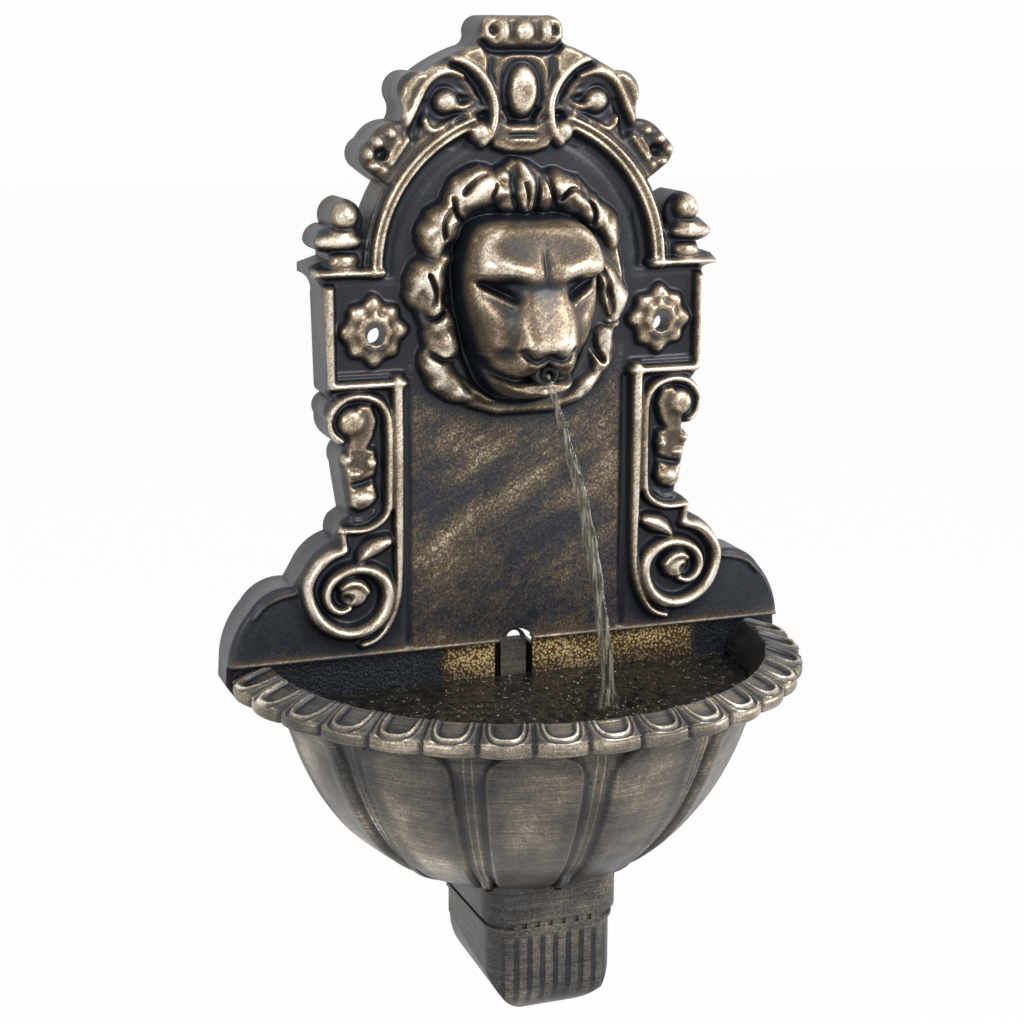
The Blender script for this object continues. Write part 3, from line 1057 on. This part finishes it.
# the jet's path is (x, y, z) from the mouth to the pool
waterShape = {
    "level": -30.0, "radius": 191.6, "endAngle": 89.85, "rows": 120, "columns": 300, "rippleHeight": 0.55,
    "splashHeight": 1.8, "landing": (42.0, -140.0), "jetHalf": 2.5, "jetAround": 20, "jetSteps": 90,
    "jetPath": [(0, -106, 232.5), (1.5, -114, 222), (5, -120, 202), (11, -125, 178), (20, -130, 138),
                (28, -134, 90), (35, -138, 42), (39.5, -139.5, 4), (42, -140, -30)],
}
waterLook = {
    "ripples": (95.0, 130.0, 95.0), "crests": (0.40, 0.55),
    "dark": ((0.002, 0.003, 0.004), (0.018, 0.014, 0.009)), "darkRange": (0.35, 0.65),
    "glint": (0.70, 0.64, 0.52), "glintRange": (0.63, 0.70), "strands": (520.0, 520.0, 22.0),
    "jet": ((0.11, 0.10, 0.07), (0.72, 0.69, 0.60)), "jetRange": (0.44, 0.64),
    "jetAlpha": (0.48, 0.34), "alphaRange": (0.49, 0.63), "jetClear": 0.68,
}


def waterFinish():
    f = Finish("poolWater")
    look = waterLook
    ripple = f.noise(1.0, 4.0, 0.62, f.stretched(look["ripples"]))
    fine = f.noise(360.0, 3.0, 0.7)
    glint = fine.step(*look["glintRange"])
    tone = f.mix(ripple.step(*look["darkRange"]), *look["dark"])
    return f.surface(color=f.mix(glint * ripple.step(*look["crests"]), tone, look["glint"]),
                     rough=glint * 0.3 + 0.03, ior=1.33, specular=0.32,
                     normal=f.bump(ripple * 0.65 + fine * 0.35, 0.0022, 0.9))


def jetFinish():
    f = Finish("jetWater")
    look = waterLook
    strand = f.noise(1.0, 3.0, 0.6, f.stretched(look["strands"]))
    thin, thick = look["jetAlpha"]
    return f.surface(color=f.mix(strand.step(*look["jetRange"]), *look["jet"]), rough=strand * 0.05 + 0.05,
                     clear=look["jetClear"], ior=1.12, specular=0.3, normal=f.bump(strand, 0.0012, 0.8),
                     alpha=strand.step(*look["alphaRange"]) * thick + thin)


def buildPool():
    w = waterShape
    turns = np.radians(np.linspace(-w["endAngle"], w["endAngle"], w["columns"]))
    t, a = np.meshgrid(np.linspace(0.2, 1, w["rows"]), turns, indexing="ij")
    x, y = w["radius"] * t * np.sin(a), basinShape["plane"] - 0.5 - w["radius"] * t * np.cos(a)
    gap = np.hypot(x - w["landing"][0], y - w["landing"][1])
    wave = w["splashHeight"] * np.exp(-gap / 45.0) * np.cos(gap * 0.55)
    wave += w["rippleHeight"] * (np.sin(x * 0.21 + y * 0.13) * np.cos(y * 0.27 - x * 0.08)
                                 + 0.6 * np.sin(x * 0.53 - y * 0.41) * np.cos(x * 0.19 + y * 0.6))
    points = np.stack([x, y, w["level"] + wave * np.minimum(1.0, (1 - t) * 12)], -1).reshape(-1, 3)
    faces = gridFaces(*t.shape).reshape(-1, 4).tolist() + [list(range(w["columns"]))[::-1]]
    makePiece("poolWater", points, faces, [waterFinish()])


def smoothPath(points, steps):
    pts = np.array(points, float)
    run = np.concatenate([[0], np.cumsum(np.linalg.norm(np.diff(pts, axis=0), axis=1))])
    want = np.linspace(0, run[-1], steps + 1)
    path = np.stack([np.interp(want, run, pts[:, k]) for k in range(3)], 1)
    for _ in range(60):
        path[1:-1] = 0.5 * path[1:-1] + 0.25 * (path[:-2] + path[2:])
    return path


def buildJet():
    w = waterShape
    around, steps = w["jetAround"], w["jetSteps"]
    a = np.linspace(0, 2 * math.pi, around, endpoint=False)
    rows = []
    for i, (x, y, z) in enumerate(smoothPath(w["jetPath"], steps)):
        t = i / steps
        half = 0.8 + 0.9 * min(1, t * 3) + 0.5 * t + 0.10 * math.sin(i * 0.6) + 0.08 * math.sin(i * 0.27 + 1)
        half *= w["jetHalf"] * (1 + max(0, t - 0.93) * 9)
        half = half * (1 + 0.14 * np.sin(3 * a + i * 0.05) + 0.08 * np.sin(5 * a - i * 0.07))
        rows.append(np.stack([x + half * np.cos(a), y + 0.7 * half * np.sin(a), np.full(around, z)], 1))
    faces = gridFaces(steps + 1, around, wrapCols=1).reshape(-1, 4).tolist()
    faces += [list(range(around))[::-1], list(range(steps * around, (steps + 1) * around))]
    makePiece("waterJet", np.vstack(rows), faces, [jetFinish()])


buildPool()
buildJet()
print("water made")


def tube(outer, inner, y0, y1, x, z, count=40):
    a = np.linspace(0, 2 * math.pi, count, endpoint=False)
    rings = [(outer, y0), (outer, y1), (inner, y1), (inner, y0)]
    points = [np.stack([x + r * np.cos(a), np.full(count, y), z + r * np.sin(a)], 1) for r, y in rings]
    return np.vstack(points), gridFaces(4, count, 1, 1).reshape(-1, 4)[:, [0, 3, 2, 1]]


def block(x0, x1, y0, y1, z0, z1):
    points = [(x, y, z) for x in (x0, x1) for y in (y0, y1) for z in (z0, z1)]
    faces = [(0, 1, 3, 2), (4, 6, 7, 5), (0, 4, 5, 1), (2, 3, 7, 6), (0, 2, 6, 4), (1, 5, 7, 3)]
    return np.array(points, float), np.array(faces)


# tubes and blocks as one piece, with creases, or with every edge trimmed
def makeFitting(name, parts, material, trimmed=0.0, wear=0.0):
    starts = np.cumsum([0] + [len(points) for points, _ in parts])
    faces = np.vstack([quads + start for (_, quads), start in zip(parts, starts)]).tolist()
    made = makePiece(name, np.vstack([points for points, _ in parts]), faces, [material],
                     kept={"rubbed": np.full(starts[-1], wear)}, smooth=not trimmed,
                     creaseAngle=None if trimmed else 40)
    if trimmed:
        trim = made.modifiers.new("softEdges", "BEVEL")
        trim.width, trim.segments = trimmed, 2


rearShape = {"sleeveR": 11.0, "sleeve": (-50.0, -32.0), "collarR": 9.0, "collar": (-106.0, -88.0),
             "rib": (-36.9, 0, 269, 272), "pad": (-15, 15, -3, 0, 243, 272), "post": (-36.9, 0, 266, 300),
             "postHalf": 1.5}


def buildRearFittings():
    s, r = plateShape, rearShape
    places = [side * s["screwX"] for side in (-1, 1)]
    sleeves = [tube(r["sleeveR"], s["screwR"], *r["sleeve"], x, s["screwZ"]) for x in places]
    makeFitting("screwSleeves", sleeves, mouldedBack)
    rear = [block(*places, *r["rib"]), block(*r["pad"])]
    rear += [block(x - r["postHalf"], x + r["postHalf"], *r["post"]) for x in places]
    makeFitting("hangerRib", rear, mouldedBack, 0.0006)
    collar = tube(r["collarR"], s["mouthR"], *r["collar"], 0, s["mouthZ"])
    makeFitting("mouthCollar", [collar], mouldedBack)


def buildNiche():
    s = basinShape
    half, low, top, wall = s["nicheHalf"], s["nicheLow"], s["nicheTop"], s["wall"]
    front, back = s["plane"] + s["backDepth"] - 0.5, s["plane"] + s["nicheDepth"]
    parts = [block(-half - wall, -half, front, back + wall, low - wall, top),
             block(half, half + wall, front, back + wall, low - wall, top),
             block(-half, half, back, back + wall, low - wall, top),
             block(-half, half, front, back, low - wall, low)]
    makeFitting("basinNiche", parts, bowlBronze, 0.0008, 0.25)
    parts = [tube(s["bossR"], s["bossHole"], s["plane"] - s["bossOut"], s["plane"] + 0.5, x, z)
             for x, z in s["bosses"]]
    makeFitting("basinBosses", parts, bowlBronze, wear=0.25)


buildRearFittings()
buildNiche()
print("rear fittings made")


corbelLook = dict(coverLook, stretch=(16.0, 16.0, 1100.0), weights=(0.9, 1.1, 0.9), wear=0.36)
corbelReeds = {"pitch": 0.011, "edge": (0.14, 0.26), "front": (-0.135, -0.125), "width": (0.043, 0.047),
               "top": (-0.477, -0.474), "low": (-0.547, -0.543), "sides": (0.040, 0.052),
               "reedWear": 0.30, "sideWear": 0.10}


def corbelFinish():
    f = Finish("corbelBronze")
    c = corbelReeds
    x, y, z = f.outputs("SeparateXYZ", (0, 1, 2), {0: f.place})
    away = x.calc("ABSOLUTE")
    fromReed = ((x * (1 / c["pitch"])).calc("FRACT") - 0.5).calc("ABSOLUTE")
    reed = 1.0 - (0.5 - fromReed).step(*c["edge"])
    inFront = (1.0 - y.step(*c["front"])) * (1.0 - away.step(*c["width"]))
    fluted = reed * inFront * (1.0 - z.step(*c["top"])) * z.step(*c["low"])
    sides = away.step(*c["sides"])
    return bronzeFinish(f, corbelLook, corbelLook["wear"] - (fluted * c["reedWear"] + sides * c["sideWear"]))


nodeFinishes = {
    corbelFinish(): ["corbel"],
    plasticFinish("nozzleBlack", (0.004, 0.004, 0.005), 0.62, gloss=0.12): ["spout_nozzle"],
    plasticFinish("hoseRubber", (0.010, 0.011, 0.013), 0.38, 160.0, coat=0.2): ["hose"],
    laminatedFinish(): ["stator_core"],
    windingFinish(): ["stator_coil"],
    plasticFinish("ferriteGrey", (0.030, 0.030, 0.034), 0.42, 700.0, metal=0.2): ["rotor"],
    plasticFinish("ceramicWhite", (0.72, 0.71, 0.67), 0.18, 300.0, coat=0.3, second=(0.8, 0.79, 0.75)): [
        "rotor_shaft"],
    plasticFinish("knobBlue", (0.015, 0.040, 0.085), 0.4): ["flow_regulator"],
    plasticFinish("clipBlack", (0.022, 0.022, 0.023), 0.48): ["hose_clip_lower", "hose_clip_upper"],
    plasticFinish("pumpBlack", (0.012, 0.012, 0.014), 0.33, 260.0): [
        "pump_housing", "motor_lid", "impeller_cover", "strainer_cover", "outlet_adapter"],
    plasticFinish("softRubber", (0.016, 0.016, 0.017), 0.6, 900.0): [
        "cable_gland", "shaft_bush_rear", "shaft_bush_front", "outlet_seal", "suction_cup_front_left",
        "suction_cup_back_left", "suction_cup_front_right", "suction_cup_back_right"],
    steelFinish(): ["basin_screw_left", "basin_screw_right", "corbel_screw_upper", "corbel_screw_lower"],
}
for finish, names in nodeFinishes.items():
    for name in names:
        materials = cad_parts[name].data.materials
        materials.clear()
        materials.append(finish)
print("carried-over nodes finished:", sum(len(names) for names in nodeFinishes.values()))

# lamps are (place, size, power)
studio = {
    "floorZ": -0.78, "floorHalf": 12.0, "floor": ((0.82, 0.82, 0.82), (0.8036, 0.8036, 0.8036)),
    "floorGlow": 0.96, "sky": (0.93, 0.96, 1.0), "skyStrength": 0.47, "white": 0.985,
    "lamps": [((0.75, -1.25, 1.05), 1.1, 36.0), ((-1.4, -0.9, 0.55), 0.6, 9.0),
              ((1.4, -0.45, 0.05), 0.5, 8.0)], "lampAim": (0.0, -0.06, -0.1),
}


# the white that only the camera, gloss and clear water see
def seenWhite(f, plain, white, share):
    paths = ["Is %s Ray" % kind for kind in ("Camera", "Glossy", "Transmission")]
    camera, glossy, through = f.outputs("LightPath", paths)
    return f.node("MixShader", None, {0: (camera + glossy + through).clip() * share, 1: plain, 2: white})


def floorFinish():
    f = Finish("paleFloor")
    tint = f.mix(f.noise(30.0, 3.0, 0.6).step(0.3, 0.7), *studio["floor"])
    glow = f.node("Emission", None, {"Color": (1.0, 1.0, 1.0), "Strength": 1.0})
    return f.close(seenWhite(f, f.node("BsdfDiffuse", None, {"Color": tint}), glow, studio["floorGlow"]))


def skyFinish():
    f = Finish("studioSky", bpy.data.worlds)
    soft, white = (f.node("Background", None, {"Color": color, "Strength": strength}) for color, strength in (
        (studio["sky"], studio["skyStrength"]), ((1.0, 1.0, 1.0), studio["white"])))
    return f.close(seenWhite(f, soft, white, 1.0), "OutputWorld")


def setStudio():
    s = studio
    mesh = bpy.data.meshes.new("studioFloor")
    half = s["floorHalf"]
    corners = [(x * half, y * half, s["floorZ"]) for x, y in ((-1, -1), (1, -1), (1, 1), (-1, 1))]
    mesh.from_pydata(corners, [], [[0, 1, 2, 3]])
    mesh.materials.append(floorFinish())
    floor = bpy.data.objects.new("studioFloor", mesh)
    scene.collection.objects.link(floor)
    scene.world = skyFinish()
    for number, (place, size, power) in enumerate(s["lamps"]):
        data = bpy.data.lights.new("softLamp%d" % number, "AREA")
        data.size, data.energy = size, power
        lamp = bpy.data.objects.new("softLamp%d" % number, data)
        lamp.location = place
        lamp.rotation_euler = (Vector(s["lampAim"]) - Vector(place)).to_track_quat("-Z", "Y").to_euler()
        scene.collection.objects.link(lamp)
    scene.view_settings.view_transform = "Standard"


setStudio()
print("studio set")
